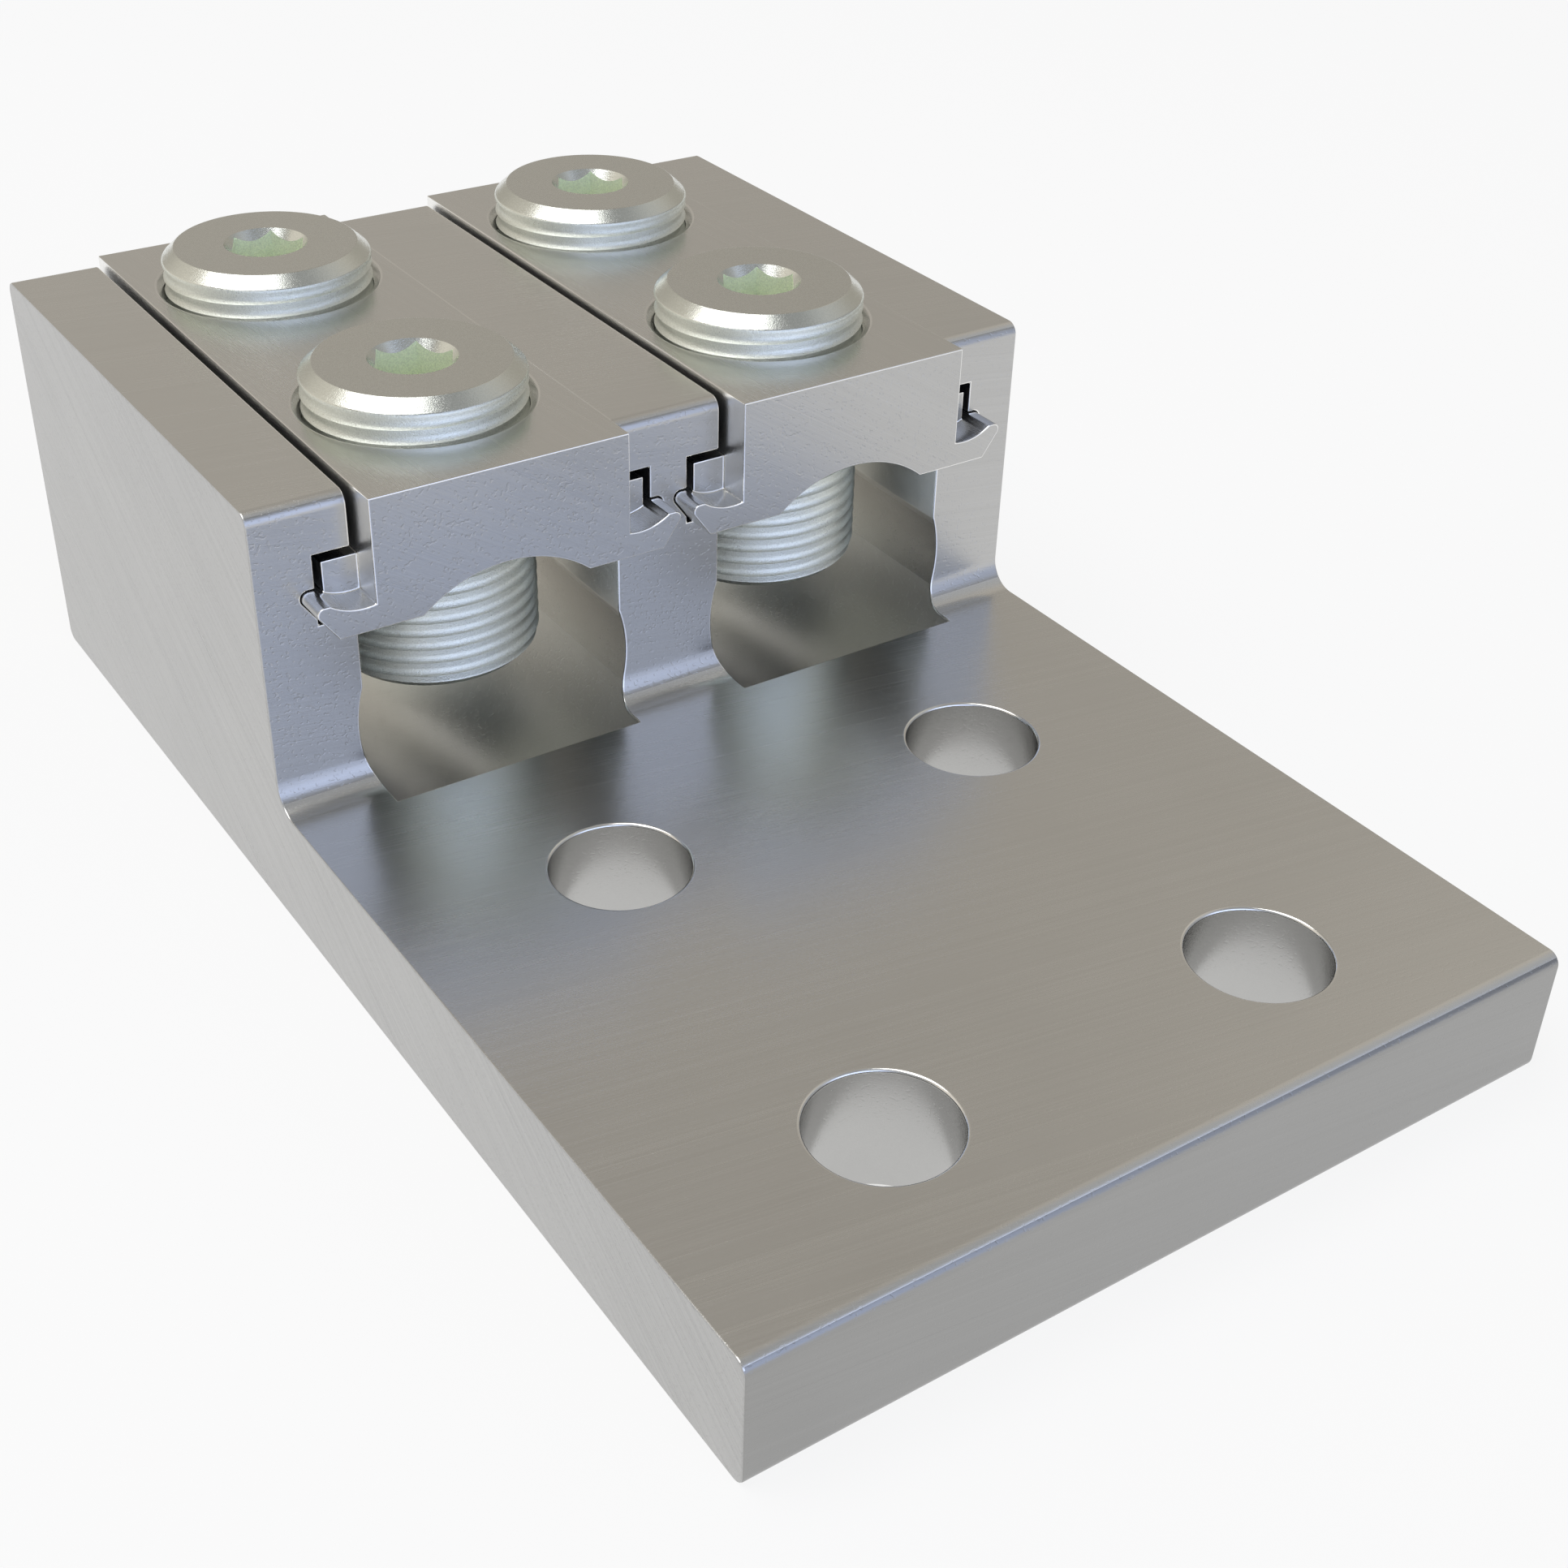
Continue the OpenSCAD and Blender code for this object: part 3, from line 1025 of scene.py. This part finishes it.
# %% World
world = bpy.data.worlds.new("studio_air")
bpy.context.scene.world = world
world.use_nodes = True
sky = Nodes(world.node_tree)
ray = sky.node("ShaderNodeTexCoord")
right, back, up = (
    sky.node("ShaderNodeSeparateXYZ", {}, {"Vector": ray}, output=axis) for axis in range(3)
)
GREY_FRONT = (0.315, 0.32, 0.325, 1)
WARM_BACK = (0.39, 0.365, 0.325, 1)
COOL = (1.04, 1.20, 1.64, 1)
# Each patch of the world is a range of directions: to the right, to the back
# and up, each from -1 to 1, with soft limits.
cool = (
    sky.rise(right, 0.76, 0.32)
    * sky.rise(right, -0.75, -0.35)
    * sky.rise(back, -0.15, -0.6)
    * sky.rise(up, 0.70, 0.44)
)
grey = sky.mixed(sky.rise(back, -0.3, 0.3), GREY_FRONT, WARM_BACK)
tint = sky.mixed(cool, grey, COOL)
right_glow = sky.rise(right, 0.35, 0.65) * sky.rise(up, 0.35, 0.7) * sky.rise(back, 0.55, 0.3)
left_glow = sky.rise(right, -0.1, -0.65) * sky.rise(back, 0.0, 0.4)
low_glow = sky.rise(back, 0.7, 0.9)
high_shade = sky.rise(up, 0.6, 0.75) * sky.rise(back, -0.3, 0.3)
level = right_glow * 0.5 + left_glow * 0.9 + low_glow * 0.12 - high_shade * 0.15 + 1
background = sky.tree.nodes["Background"]
sky.tree.links.new(tint.socket, background.inputs["Color"])
sky.tree.links.new(level.socket, background.inputs["Strength"])
print("world nodes:", len(sky.tree.nodes))

# %% Lamp
def soft_lamp(name, where, size, watts):
    """A square lamp in metres that looks at the object's middle."""
    light = bpy.data.lights.new(name, "AREA")
    light.shape = "SQUARE"
    light.size = size
    light.energy = watts
    lamp = bpy.data.objects.new(name, light)
    lamp.location = where
    aim = Vector((0, 0.04, 0.02)) - Vector(where)
    lamp.rotation_euler = aim.to_track_quat("-Z", "Y").to_euler()
    lamp.visible_camera = False
    bpy.context.scene.collection.objects.link(lamp)
    return lamp


overhead = soft_lamp("overhead_lamp", (-0.30, 0.08, 0.85), 0.68, 3.2)
print(overhead.name, "shines with", round(overhead.data.energy, 1), "W")

# %% Colour management
bpy.context.scene.view_settings.view_transform = "Standard"
